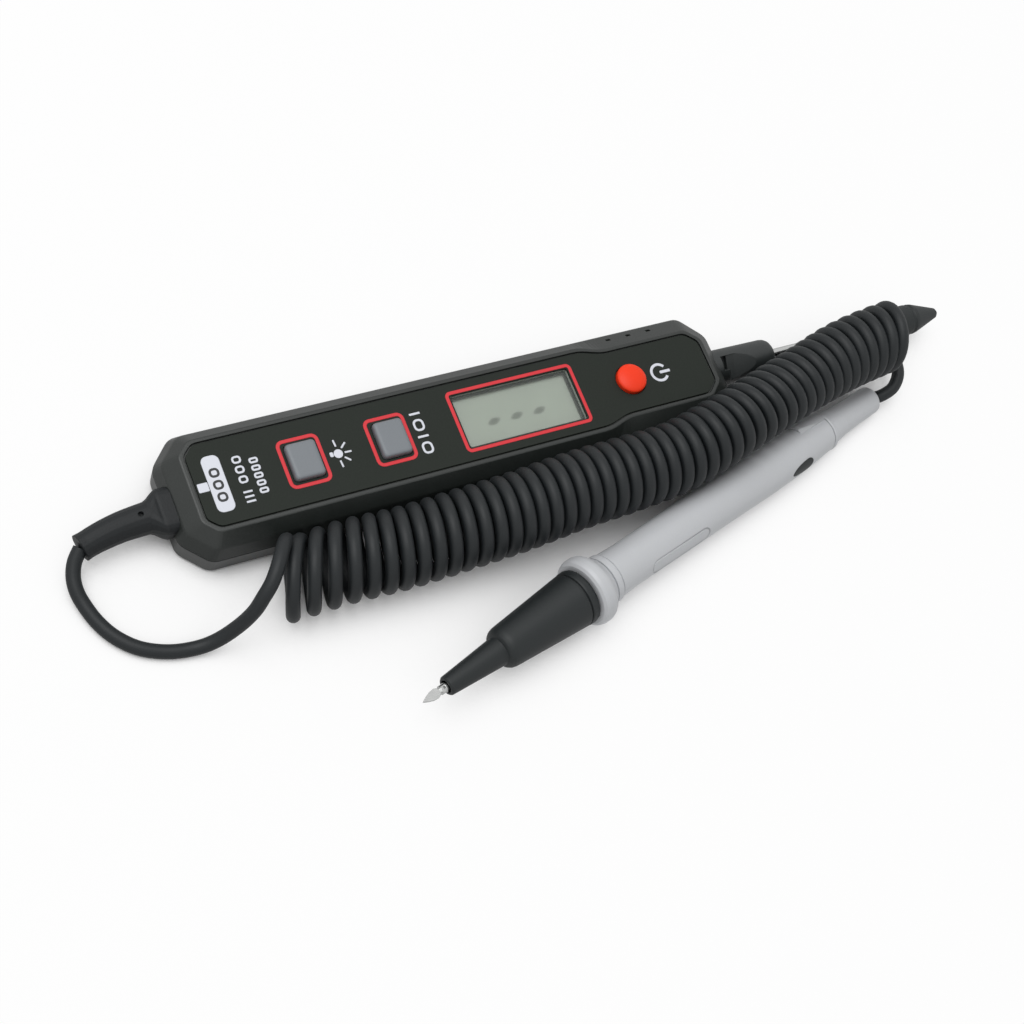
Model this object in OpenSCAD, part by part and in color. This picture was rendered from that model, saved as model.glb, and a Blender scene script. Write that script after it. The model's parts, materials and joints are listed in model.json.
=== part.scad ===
// Automotive circuit tester: a bevelled meter housing with a long test rod and its cap,
// a curly lead that leaves through a boot, and a second probe with a slide-on guard.
// Millimetres. +X runs along the meter to its rod, +Y away from the second probe, +Z up.
// The origin is the centre of the flat back that the meter lies on.

/* [Housing] */
// Length over the parting line
body_l = 160; // [156:0.5:166]
// Width over the parting line
body_w = 33.6; // [33:0.1:34.4]
// Thickness from the flat back to the rim of the face
body_h = 15; // [15:0.1:15.4]
// Height of the parting line and of the rod
parting_z = 7.5; // [7.4:0.05:7.6]
// Height of the shoulder where the side turns into the bevel
shoulder_z = 11.5; // [11.2:0.1:11.8]
// Wall thickness of both covers
wall = 2; // [1.8:0.05:2.1]

/* [Face] */
// Length of the face panel
panel_l = 146.5; // [145:0.5:147]
// Width of the face panel at the buttons
panel_w = 22; // [21.6:0.1:22.2]
// Width of the face panel at the power button
panel_narrow_w = 18.1; // [17.8:0.1:18.4]
// Thickness of the face panel
panel_t = 0.7; // [0.6:0.05:0.8]
// Centre of the display along the face
window_x = 15.05; // [14:0.05:16]
// Length of the display opening
window_l = 34.7; // [33:0.1:35]
// Width of the display opening
window_w = 15.2; // [14:0.1:15.4]

/* [Buttons] */
// Centre of the light button along the face
light_x = -45.2; // [-46:0.1:-44.6]
// Centre of the hold button along the face
hold_x = -21.6; // [-22.5:0.1:-21]
// Centre of the power button along the face
power_x = 49; // [48:0.1:50]
// Length and width of the two bar buttons
bar_l = 8; // [7.6:0.1:8.4]
// Width of the bar buttons across the face
bar_w = 9.8; // [9.4:0.1:10.2]
// Radius of the round power button
power_r = 4.2; // [4:0.05:4.4]
// How far each button goes down
travel = 0.6; // [0.4:0.05:0.6]

/* [Test rod] */
// Radius of the steel rod
rod_r = 1.3; // [1.1:0.05:1.4]
// Place of the rod's point
rod_end = 155.5; // [154:0.1:156]
// Where the cap begins
cap_start = 136; // [135.5:0.1:138]
// Length of the cap
cap_l = 23; // [22.6:0.1:24]

/* [Second probe] */
// Place of the flange's front face along X
probe_x = 12.8; // [12:0.1:14]
// Place of the flange's front face along Y
probe_y = -51.3; // [-54:0.1:-51]
// Radius of the finger flange
flange_r = 9.43; // [9.2:0.01:9.6]
// Turn of the probe about the vertical
probe_turn = 15.7; // [15:0.1:16]

/* [Lead] */
// Diameter of the curly lead
cord_d = 3.6; // [3.4:0.1:3.7]
// How much fuller than the plain coil its turns are
coil_fuller = 0; // [-0.1:0.05:0.1]

/* [Hidden] */
$fn = 64;

housing_grey = "#3b4042";
panel_grey = "#2f3533";
button_grey = "#8c9296";
probe_grey = "#c4c6c8";
black = "#26292b";

// Steps that a bored solid is cut past its faces
over = 1;
// Straight pieces in each rounded corner of an outline
arc_n = 4;

// The face steps in between these two places
step_x0 = 37.8;
step_x1 = 44.2;

// An outline is [half length, half width, half width past the step,
// [left cut along x, left cut along y, right cut along x, right cut along y], corner rounding]
half_l = body_l / 2;
half_w = body_w / 2;
bevel_in = 4.5;
parting = [half_l, half_w, half_w, [6.4, 6.7, 6.5, 7.7], 1.9];
shoulder = [half_l - 1.5, half_w - 1.4, half_w - 1.4, [6.1, 6.2, 6.2, 7], 1.7];
rim = [half_l - 5.4, half_w - bevel_in, half_w - bevel_in - 2.1, [3.4, 3.4, 3.8, 3.7], 1.2];
panel = [panel_l / 2, panel_w / 2, panel_narrow_w / 2, [2.8, 2.6, 3.2, 3], 1.1];

// Levels inside the housing
floor_z = 1.8;
ceiling_z = 12.6;
recess_z = body_h - 0.1 - panel_t;
ledge_z = 13.3;
board_z = 6.2;
board_t = 1.6;
board_top = board_z + board_t;
board_half_l = 58;
board_half_w = 12.2;
glass_z = 11;
switch_top = board_top + 2.1;
stem_z = board_top + 3.1;
flange_z = 11.6;
flange_t = 0.85;

// Clearance round a moving button and depth of its overlap under the face
gap = 0.2;
lip = 1;

// Case screws and their bosses
screw_x = 69;
screw_y = 8.2;
boss_r = 3;
shank_r = 1.1;
head_r = 2.3;
head_t = 1.5;
pocket_z = 2.4;
standoff_x = 50;
standoff_y = 9.5;

// Battery bay
cell_x = -33;
cell_r = 10;
cell_t = 3.2;
cell_z = floor_z;
door_l = 32;
door_w = 26;
door_x = cell_x + 2.5;
door_t = 1;
door_screw_x = -18;

// The narrow groove round the housing where its covers meet
groove_deep = 0.55;
groove_half = 0.22;
groove_edge = 0.12;

// Tongue of the lower cover and the rebate it stands in, as shares of the wall
tongue_share = 0.62;
rebate_share = 0.56;
tongue_up = 1.1;

// Boot at the left end, with its oblong collar, and sleeve at the right end
boot_y = -1.6;
collar_h = 7.7;
collar_w = 12.1;
collar_corner = 2.6;
collar_in = 3.4;
neck_r = 3.9;
sleeve_r = 5;
ledge_turn = 29;
socket_r = 7.3;
boot_hole_x = -86.8;
boot_route = [
    [-84.5, -1.6, 7.5], [-88, -1.8, 7.4], [-91.5, -2.1, 7.3],
    [-95.5, -2.8, 7.1], [-98.5, -3.5, 6.9], [-101.9, -4.5, 6.6]
];

// Places that the lead passes between its boot and its coil
lead_route = [
    [-101.9, -4.5, 6.6], [-104.1, -6.2, 5.7], [-105.5, -9, 4.4], [-105.7, -12.5, 3.1],
    [-105, -16.5, 2.2], [-102.8, -21.3, 1.9], [-99.2, -26.3, 1.85], [-94.6, -30.6, 1.85],
    [-88.8, -33.9, 1.85], [-82.6, -35.1, 1.9], [-77.2, -34, 3], [-72.6, -32.2, 6.4],
    [-69, -30.7, 10.4], [-66.3, -29.2, 14], [-63.6, -26.3, 16.9], [-60.4, -22.8, 17],
    [-57.4, -20.8, 14.6]
];

// Along the coil: its middle, its turn about the vertical, and the radius that its strand goes round
coil_stations = [
    [-60, -27.2, 10.7, -21, 8.75], [-44, -26.6, 11.2, -14.5, 8.75],
    [-28, -27.1, 11.2, -8.5, 8.7], [-12, -26.8, 11.7, -4.5, 8.7],
    [4, -26.5, 12.8, -2, 8.65], [20, -25.6, 14.1, 0, 8.55], [36, -25.3, 15, 2, 8.4],
    [52, -24.7, 16.8, 5, 7.9], [68, -21.4, 19.8, 11, 7.3], [84, -16.7, 17.4, 17, 7.35],
    [100, -12.3, 15.5, 19, 7.5], [116, -8.7, 16.1, 13, 8.2], [132, -7.1, 17.8, -3, 8.6]
];

// Places that the lead passes between its coil and the second probe
tail_route = [
    [131.6, -18.5, 3.9], [135.4, -17.3, 4.4], [137.5, -14.4, 5.7], [137.6, -10.8, 7.5],
    [136.2, -7.6, 9.1], [133.8, -5.5, 10.1], [130.8, -4.6, 10.4]
];

// The probe lies on its flange and on the end of its rear sleeve
probe_back = 117.8;
probe_end_r = 3.95;
flange_t_back = 3;
joint_s = 95.2;
probe_slope = asin((flange_r - probe_end_r) / (probe_back - flange_t_back));
probe_z = flange_r * cos(probe_slope) + flange_t_back * sin(probe_slope);
probe_dir = [
    cos(probe_slope) * cos(probe_turn), cos(probe_slope) * sin(probe_turn), -sin(probe_slope)
];
guard_front = -45.8;
guard_gap = 0.25;
pad_s = 84.4;
notch_s = 52.4;
label_s = 31;
label_l = 22;
label_turn = -118;
inlay_turn = -116;
inlay_s = 82;

// A length cut from a corner, after the whole outline has moved in by d
function trimmed(a, b, d) = a - d * (1 + (a - norm([a, b])) / b);

function moved_in(s, d) = [
    s[0] - d, s[1] - d, s[2] - d,
    [
        trimmed(s[3][0], s[3][1], d), trimmed(s[3][1], s[3][0], d),
        trimmed(s[3][2], s[3][3], d), trimmed(s[3][3], s[3][2], d)
    ],
    max(s[4] - d * 0.5, 0.4)
];

// Corners of the upper half of an outline from left to right, each with its rounding
function corners(s) = [
    [-s[0], s[1] - s[3][1], s[4]], [-s[0] + s[3][0], s[1], s[4]],
    [step_x0, s[1], 2], [step_x1, s[2], 2],
    [s[0] - s[3][2], s[2], s[4]], [s[0], s[2] - s[3][3], s[4]]
];

function both_halves(c) = concat(
    [for (i = [0:len(c) - 1]) [c[i][0], -c[i][1], c[i][2]]],
    [for (i = [len(c) - 1:-1:0]) c[i]]
);

// Each corner becomes a short curve that begins and ends its rounding away
function softened(c) = [
    for (i = [0:len(c) - 1])
        let (
            here = [c[i][0], c[i][1]],
            last = c[(i + len(c) - 1) % len(c)],
            next = c[(i + 1) % len(c)],
            to_last = [last[0], last[1]] - here,
            to_next = [next[0], next[1]] - here,
            a = here + to_last * (c[i][2] / norm(to_last)),
            b = here + to_next * (c[i][2] / norm(to_next))
        )
        for (k = [0:arc_n])
            let (t = k / arc_n)
            a * (1 - t) * (1 - t) + here * 2 * t * (1 - t) + b * t * t
];

function plan(s, d) = softened(both_halves(corners(moved_in(s, d))));

function ring(s, d, z) = [for (p = plan(s, d)) [p[0], p[1], z]];

function between(a, b, t) = a * (1 - t) + b * t;

function rounded_bar(l, w, r, z) = [
    for (q = [0:3])
        let (
            sx = (q == 0 || q == 3) ? 1 : -1,
            sy = q < 2 ? 1 : -1
        )
        for (k = [0:arc_n])
            let (a = 90 * q + 90 * k / arc_n)
            [sx * (l / 2 - r) + r * cos(a), sy * (w / 2 - r) + r * sin(a), z]
];

// A closed skin through level rings that all have the same number of points
module loft(rings) {
    n = len(rings[0]);
    m = len(rings);
    sides = [
        for (j = [0:m - 2], i = [0:n - 1])
            [j * n + i, (j + 1) * n + i, (j + 1) * n + (i + 1) % n, j * n + (i + 1) % n]
    ];
    bottom = [for (i = [0:n - 1]) i];
    top = [for (i = [n - 1:-1:0]) (m - 1) * n + i];
    polyhedron(points = [for (r = rings) each r], faces = concat([bottom], sides, [top]));
}

// A smooth curve through the places of a route, n steps to each stretch
function curve_point(p, i, t) =
    let (
        a = p[max(i - 1, 0)],
        b = p[i],
        c = p[i + 1],
        d = p[min(i + 2, len(p) - 1)]
    )
    0.5 * (2 * b + (c - a) * t + (2 * a - 5 * b + 4 * c - d) * t * t
        + (3 * b - a - 3 * c + d) * t * t * t);

function curve(p, n) = concat(
    [for (i = [0:len(p) - 2], k = [0:n - 1]) curve_point(p, i, k / n)],
    [p[len(p) - 1]]
);

function unit(v) = v / norm(v);

function heading(p, i) = unit(p[min(i + 1, len(p) - 1)] - p[max(i - 1, 0)]);

// A round tube along points p with radii r, its seam kept to the side named by ref
module tube(p, r, sides, ref) {
    rings = [
        for (i = [0:len(p) - 1])
            let (
                t = heading(p, i),
                u = unit(cross(ref, t)),
                v = cross(t, u)
            )
            [
                for (k = [0:sides - 1])
                    let (a = 360 * k / sides)
                    p[i] + r[i] * (cos(a) * u + sin(a) * v)
            ]
    ];
    loft(rings);
}

module even_tube(p, r, sides, ref) {
    tube(p, [for (q = p) r], sides, ref);
}

module along_x(y, z) {
    translate([0, y, z])
        rotate([0, 90, 0])
            children();
}

module on_probe() {
    translate([probe_x, probe_y, probe_z])
        rotate([0, 90 + probe_slope, probe_turn])
            children();
}

module at_screws() {
    for (sx = [-1, 1], sy = [-1, 1])
        translate([sx * screw_x, sy * screw_y, 0])
            children();
}

module block(l, w, r, z0, z1) {
    translate([0, 0, z0])
        linear_extrude(z1 - z0)
            polygon([for (p = rounded_bar(l, w, r, 0)) [p[0], p[1]]]);
}

// Housing

module top_form() {
    base = ring(parting, 0, parting_z + groove_half + groove_edge);
    turn = ring(shoulder, 0, shoulder_z);
    edge = ring(rim, 0, body_h);
    loft([
        ring(parting, groove_deep, parting_z),
        ring(parting, groove_deep, parting_z + groove_half),
        ring(parting, groove_edge, parting_z + groove_half),
        base,
        between(base, turn, 0.93),
        between(turn, edge, 0.06),
        between(turn, edge, 0.97),
        ring(rim, 0.2, body_h)
    ]);
}

module bottom_form() {
    loft([
        ring(parting, 1.5, 0),
        ring(parting, 0.6, 0.35),
        ring(parting, 0.2, 1.2),
        ring(parting, 0, parting_z - groove_half - groove_edge),
        ring(parting, groove_edge, parting_z - groove_half),
        ring(parting, groove_deep, parting_z - groove_half),
        ring(parting, groove_deep, parting_z)
    ]);
}

// The lower cover's tongue stands in a rebate of the upper cover's wall
module tongue() {
    loft([
        ring(parting, wall * tongue_share, parting_z - 0.2),
        ring(parting, wall * tongue_share, parting_z + tongue_up)
    ]);
}

module top_cavity() {
    loft([
        ring(parting, wall * rebate_share, parting_z - over),
        ring(parting, wall * rebate_share, parting_z + tongue_up + 0.1),
        ring(parting, wall, parting_z + tongue_up + 0.1),
        ring(shoulder, wall, shoulder_z - 0.3),
        ring(rim, 0.6, ceiling_z)
    ]);
}

module bottom_cavity() {
    loft([
        ring(parting, wall + 0.5, floor_z),
        ring(parting, wall, floor_z + 1),
        ring(parting, wall, parting_z + 2)
    ]);
}

// Solid ends of the housing that hold the boot and the sleeve
module end_blocks() {
    along_x(boot_y, parting_z)
        translate([0, 0, -half_l - over])
            cylinder(r = socket_r, h = 9 + over);
    along_x(0, parting_z)
        translate([0, 0, half_l - 8])
            cylinder(r = socket_r, h = 8 + over);
}

module end_bores() {
    along_x(boot_y, parting_z) {
        block(collar_h, collar_w, collar_corner, -half_l - 5, -half_l + collar_in);
        translate([0, 0, -half_l])
            cylinder(r = neck_r, h = 12);
        translate([0, 0, -half_l + 5])
            cylinder(r = 5.5, h = 1.5);
    }
    along_x(0, parting_z) {
        translate([0, 0, half_l - 12])
            cylinder(r = 4.2, h = 8);
        translate([0, 0, half_l - 6])
            cylinder(r = sleeve_r + 0.9, h = 1.6);
        translate([0, 0, half_l - 5])
            cylinder(r = sleeve_r, h = 8);
    }
}

module button_ways() {
    for (x = [light_x, hold_x])
        translate([x, 0, 0])
            block(bar_l + 2 * gap, bar_w + 2 * gap, 1.2, ceiling_z - over, body_h + over);
    translate([power_x, 0, ceiling_z - over])
        cylinder(r = power_r + gap, h = body_h);
}

module vent_slots() {
    for (x = [48.8, 55.1, 61.5])
        translate([x, 13.7, 13.1])
            rotate([-38, 0, 0])
                cube([1.4, 1, 2], center = true);
}

module top_cover() {
    color(housing_grey)
        difference() {
            union() {
                difference() {
                    top_form();
                    top_cavity();
                }
                intersection() {
                    top_form();
                    end_blocks();
                }
                at_screws()
                    translate([0, 0, parting_z])
                        cylinder(r = boss_r, h = recess_z - parting_z);
            }
            translate([0, 0, recess_z])
                linear_extrude(body_h)
                    polygon(plan(panel, -0.4));
            button_ways();
            translate([window_x, 0, 0]) {
                block(window_l + 0.3, window_w + 0.3, 0.8, ledge_z, body_h);
                block(window_l - 1.6, window_w - 1.6, 0.6, ceiling_z - over, body_h);
            }
            at_screws()
                translate([0, 0, parting_z - over])
                    cylinder(r = shank_r, h = 5.2 + over);
            end_bores();
            vent_slots();
        }
}

module bottom_cover() {
    color(housing_grey)
        difference() {
            union() {
                difference() {
                    union() {
                        bottom_form();
                        difference() {
                            tongue();
                            end_blocks();
                        }
                    }
                    bottom_cavity();
                }
                intersection() {
                    bottom_form();
                    end_blocks();
                }
                at_screws()
                    translate([0, 0, floor_z - 0.5])
                        cylinder(r = boss_r, h = parting_z - floor_z + 0.5);
                for (sx = [-1, 1], sy = [-1, 1])
                    translate([sx * standoff_x, sy * standoff_y, 0]) {
                        translate([0, 0, floor_z - 0.5])
                            cylinder(r = 2, h = board_z - floor_z + 0.5);
                        translate([0, 0, floor_z])
                            cylinder(r = 0.8, h = board_z - floor_z + 1.2);
                    }
                translate([door_screw_x, 0, floor_z - 0.5])
                    cylinder(r = 2.6, h = 4.3);
            }
            at_screws() {
                translate([0, 0, -over])
                    cylinder(r = head_r + 0.2, h = pocket_z + over);
                cylinder(r = shank_r, h = body_h);
            }
            translate([door_x, 0, 0])
                block(door_l + 0.3, door_w + 0.3, 2.2, -over, door_t);
            translate([cell_x, 0, 0])
                block(23, 23, 2, -over, floor_z + over);
            translate([door_screw_x, 0, 0])
                cylinder(r = shank_r, h = 5.2);
            end_bores();
        }
}

// The inlaid face stands level with the rim, and a narrow groove runs round it
module face_panel() {
    color(panel_grey)
        difference() {
            translate([0, 0, recess_z])
                linear_extrude(panel_t)
                    polygon(plan(panel, 0.1));
            button_ways();
            translate([window_x, 0, 0])
                block(window_l, window_w, 0.8, ledge_z, body_h);
        }
}

module case_screw(length) {
    difference() {
        union() {
            cylinder(r1 = head_r - 0.5, r2 = head_r, h = 0.4);
            translate([0, 0, 0.4])
                cylinder(r = head_r, h = head_t - 0.4);
            cylinder(r = shank_r, h = length);
        }
        for (a = [0, 90])
            rotate([0, 0, a])
                translate([-1.4, -0.3, -over])
                    cube([2.8, 0.6, over + 0.8]);
    }
}

module case_screws() {
    color("silver")
        at_screws()
            translate([0, 0, pocket_z - head_t])
                case_screw(10.2);
}

module battery_door() {
    color(housing_grey)
        difference() {
            union() {
                translate([door_x, 0, 0])
                    block(door_l, door_w, 2, 0, door_t);
                translate([cell_x, 0, 0])
                    block(22.6, 22.6, 1.8, 0, floor_z);
            }
            translate([door_screw_x, 0, -over])
                cylinder(r = shank_r + 0.2, h = door_t + 2 * over);
            translate([door_screw_x, 0, -over])
                cylinder(r = head_r + 0.1, h = 0.5 + over);
            for (x = [0:3])
                translate([door_x - 12.6 + 1.6 * x, -4, -over])
                    cube([0.7, 8, over + 0.4]);
        }
}

module door_screw() {
    color("silver")
        translate([door_screw_x, 0, 0.02])
            difference() {
                union() {
                    cylinder(r = head_r, h = 0.48);
                    cylinder(r = shank_r, h = 4.6);
                }
                translate([-1.4, -0.3, -over])
                    cube([2.8, 0.6, over + 0.3]);
            }
}

// Display

module lcd_window() {
    color("#9aa39c", 0.5)
        translate([window_x, 0, 0])
            block(window_l, window_w, 0.6, ledge_z, recess_z - 0.05);
}

module lcd_holder() {
    color("white")
        translate([window_x, 0, 0])
            difference() {
                block(44, 21.2, 0.8, board_top, ceiling_z - 0.05);
                block(39.3, 17.8, 0.4, glass_z, body_h);
                block(36, 13.8, 0.3, board_top - over, body_h);
                for (sy = [-1, 1])
                    translate([-17, sy * 8.1 - 0.5, board_top - over])
                        cube([34, 1, 6]);
            }
}

module lcd_glass() {
    color("#a5aca0")
        translate([window_x, 0, 0]) {
            block(39, 17.5, 0.3, glass_z, glass_z + 0.7);
            block(39, 15.2, 0.3, glass_z + 0.7, glass_z + 1.4);
        }
}

module backlight_panel() {
    color("#e8eee6")
        translate([window_x, 0, 0])
            block(35.6, 13.4, 0.3, board_top, glass_z - 0.1);
}

module contact_strips() {
    color("#c87f9a")
        translate([window_x, 0, 0])
            for (sy = [-1, 1])
                translate([-16.8, sy * 8.1 - 0.45, board_top])
                    cube([33.6, 0.9, glass_z - board_top]);
}

// Board and what it carries

module main_board() {
    color("#2f6b46")
        difference() {
            translate([0, 0, board_z])
                linear_extrude(board_t)
                    polygon([
                        [-board_half_l, -board_half_w + 3], [-board_half_l + 3, -board_half_w],
                        [board_half_l - 3, -board_half_w], [board_half_l, -board_half_w + 3],
                        [board_half_l, board_half_w - 3], [board_half_l - 3, board_half_w],
                        [-board_half_l + 3, board_half_w], [-board_half_l, board_half_w - 3]
                    ]);
            for (sx = [-1, 1], sy = [-1, 1])
                translate([sx * standoff_x, sy * standoff_y, 0])
                    cylinder(r = 0.85, h = body_h);
        }
}

module tact_switches() {
    color("#b0b4b8")
        for (x = [light_x, hold_x, power_x])
            translate([x, 0, 0])
                difference() {
                    block(6, 6, 0.4, board_top, switch_top);
                    translate([0, 0, board_top + 0.6])
                        cylinder(r = 1.9, h = 4);
                }
}

module plunger(x) {
    color("#2a2a2a")
        translate([x, 0, board_top + 0.6 + travel + 0.1])
            cylinder(r = 1.7, h = stem_z - board_top - 0.7 - travel);
}

module bar_button(x) {
    top = body_h + 1.5;
    color(button_grey)
        translate([x, 0, 0]) {
            block(3.4, 3.4, 0.4, stem_z, flange_z);
            block(bar_l + 2 * lip, bar_w + 2 * lip, 1.4, flange_z, flange_z + flange_t);
            loft([
                rounded_bar(bar_l, bar_w, 1, flange_z),
                rounded_bar(bar_l, bar_w, 1, top - 0.9),
                rounded_bar(bar_l - 0.3, bar_w - 0.3, 1, top - 0.4),
                rounded_bar(bar_l - 0.9, bar_w - 0.9, 0.9, top - 0.1),
                rounded_bar(bar_l - 1.8, bar_w - 1.8, 0.7, top)
            ]);
        }
}

module light_button() {
    bar_button(light_x);
}

module light_plunger() {
    plunger(light_x);
}

module hold_button() {
    bar_button(hold_x);
}

module hold_plunger() {
    plunger(hold_x);
}

// The dome is turned from an arc that ends square on its rim
module power_button() {
    dome_z = body_h + 0.7;
    dome_h = 1.3;
    color("#f0452c")
        translate([power_x, 0, 0]) {
            block(3.4, 3.4, 0.4, stem_z, flange_z);
            translate([0, 0, flange_z])
                cylinder(r = power_r + lip, h = flange_t);
            rotate_extrude()
                polygon(concat(
                    [[0, flange_z], [power_r, flange_z]],
                    [for (a = [0:9:90]) [power_r * cos(a), dome_z + dome_h * sin(a)]]
                ));
        }
}

module power_plunger() {
    plunger(power_x);
}

module cell_holder() {
    color("#1d1f20")
        translate([cell_x, 0, 0])
            difference() {
                translate([0, 0, floor_z + 0.1])
                    cylinder(r = cell_r + 1.8, h = board_z - floor_z - 0.1);
                translate([0, 0, -over])
                    cylinder(r = cell_r + 0.2, h = body_h);
                translate([0, -3, 0])
                    cube([20, 6, 5.2]);
            }
}

module coin_cell() {
    color("silver")
        translate([cell_x, 0, cell_z]) {
            cylinder(r = cell_r - 1.1, h = 0.4);
            translate([0, 0, 0.4])
                cylinder(r = cell_r, h = cell_t - 0.4);
        }
}

module cell_contact() {
    color("#d9b25a")
        translate([cell_x, 0, 0]) {
            translate([0, 0, cell_z + cell_t])
                cylinder(r = 2.2, h = board_z - cell_z - cell_t);
            translate([-7, -1.2, board_z - 0.3])
                cube([14, 2.4, 0.3]);
        }
}

// Test rod

module nose_sleeve() {
    color(black)
        along_x(0, parting_z)
            difference() {
                rotate_extrude()
                    polygon([
                        [rod_r, half_l - 8], [4.1, half_l - 8], [4.1, half_l - 6],
                        [sleeve_r + 0.85, half_l - 6], [sleeve_r + 0.85, half_l - 4.4],
                        [sleeve_r, half_l - 4.4], [sleeve_r, half_l + 1],
                        [4.75, half_l + 15.4], [4.6, half_l + 16.4], [4.2, half_l + 17.2],
                        [3.5, half_l + 17.8], [rod_r, half_l + 18]
                    ]);
                rotate([0, 0, ledge_turn]) {
                    translate([0, 3.3, 0])
                        rotate([90, 0, 0])
                            linear_extrude(8.3)
                                polygon([
                                    [-7, half_l + 1.6], [-3.3, half_l + 1.6],
                                    [-3.5, half_l + 4], [-4.85, half_l + 10.6],
                                    [-7, half_l + 10.6]
                                ]);
                    translate([-7, -0.6, half_l - 0.4])
                        cube([5, 3.9, 2.1]);
                }
            }
}

module test_rod() {
    color("#d5d7d9")
        along_x(0, parting_z)
            rotate_extrude()
                polygon([
                    [0, 61], [rod_r, 61], [rod_r, rod_end - 6], [0.25, rod_end - 0.3],
                    [0, rod_end]
                ]);
}

module rod_terminal() {
    color("#c9a24b")
        difference() {
            union() {
                translate([61, -2.4, 5.2])
                    cube([5, 4.8, 4.6]);
                translate([54, -1.8, board_top])
                    cube([7.5, 3.6, 0.5]);
            }
            along_x(0, parting_z)
                translate([0, 0, 60])
                    cylinder(r = rod_r, h = 8);
        }
}

// A blunt cap with a ring groove, bored to slide on the rod
module rod_cap() {
    color(black)
        along_x(0, parting_z)
            translate([0, 0, cap_start])
                rotate_extrude()
                    polygon([
                        [rod_r + 0.04, 0], [3.9, 0], [4.4, 0.6], [4.5, 11.2], [4.15, 11.5],
                        [4.15, 12.3], [4.4, 12.6], [4.25, 13.6], [1.95, cap_l - 2.3],
                        [1.5, cap_l - 0.9], [0.8, cap_l - 0.2], [0, cap_l],
                        [0, rod_end - cap_start + 0.3], [0.3, rod_end - cap_start],
                        [rod_r + 0.04, rod_end - cap_start - 5.8]
                    ]);
}

// Lead

// An oblong collar narrows to a round boot, with a small blind hole on top
module lead_boot() {
    way = curve(boot_route, 2);
    last = len(way) - 1;
    color(black)
        difference() {
            union() {
                along_x(boot_y, parting_z) {
                    rotate_extrude()
                        polygon([
                            [0, -half_l + 6.5], [3.7, -half_l + 6.5], [5.4, -half_l + 6.4],
                            [5.4, -half_l + 5.1], [neck_r, -half_l + 5],
                            [neck_r, -half_l + collar_in - over], [0, -half_l + collar_in - over]
                        ]);
                    loft([
                        rounded_bar(8, 8.1, 3.9, -half_l - 5),
                        rounded_bar(8, 8.8, 3.8, -half_l - 4.2),
                        rounded_bar(7.9, 10.8, 3.2, -half_l - 2.8),
                        rounded_bar(collar_h - 0.2, collar_w - 0.5, 2.7, -half_l - 2.1),
                        rounded_bar(collar_h, collar_w, collar_corner, -half_l - 1.5),
                        rounded_bar(collar_h, collar_w, collar_corner, -half_l + collar_in)
                    ]);
                }
                tube(
                    way,
                    [for (i = [0:last]) 4.05 - 0.75 * i / last + (i == last ? 0.2 : 0)],
                    20, [0, 0, 1]
                );
            }
            translate([boot_hole_x, boot_y, parting_z + 2.6])
                cylinder(r = 0.65, h = 3, $fn = 16);
        }
}

module inner_lead() {
    color("#202020")
        even_tube(
            curve([[-73.5, -1.6, 7.5], [-67, -1.6, 7.7], [-60.5, -1.6, 8.8], [-54, -1.6, 9]], 3),
            1.15, 8, [0, 0, 1]
        );
}

module cord_lead() {
    color(black)
        even_tube(curve(lead_route, 3), cord_d / 2, 8, [0, 0, 1]);
}

// The coil's turns lie side by side, so it is built as the body that they fill
module cord_coil() {
    color(black)
        loft([
            for (s = curve(coil_stations, 2))
                let (
                    side = [-sin(s[3]), cos(s[3]), 0],
                    r = s[4] + cord_d / 2 + coil_fuller
                )
                [
                    for (k = [0:23])
                        let (a = 15 * k)
                        [s[0], s[1], s[2]] + r * (cos(a) * side + [0, 0, sin(a)])
                ]
        ]);
}

module cord_tail() {
    from = [probe_x, probe_y, probe_z] + probe_back * probe_dir;
    color(black)
        even_tube(curve(concat([from], tail_route), 3), cord_d / 2, 8, [0, 1, 0]);
}

// Second probe, turned about its own axis from front to back

// A drop, pointed toward the flange and round toward the lead
module inlay_form(depth) {
    rotate([0, 0, inlay_turn])
        translate([7, 0, inlay_s])
            rotate([0, -90, 0])
                linear_extrude(depth)
                    polygon([
                        for (a = [0:15:345])
                            [cos(a) * (a > 90 && a < 270 ? 6.2 : 2.6), 2.2 * sin(a)]
                    ]);
}

// The blank label field on the near side is marked by a shallow groove
module label_groove() {
    intersection() {
        rotate([0, 0, label_turn])
            translate([7.5, 0, label_s])
                rotate([0, -90, 0])
                    difference() {
                        block(label_l, 4.4, 2.15, 0, 4);
                        block(label_l - 0.9, 3.5, 1.7, -over, 5);
                    }
        difference() {
            cylinder(r = 8, h = 60);
            translate([0, 0, -over])
                cylinder(r = 6, h = 62);
        }
    }
}

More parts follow.
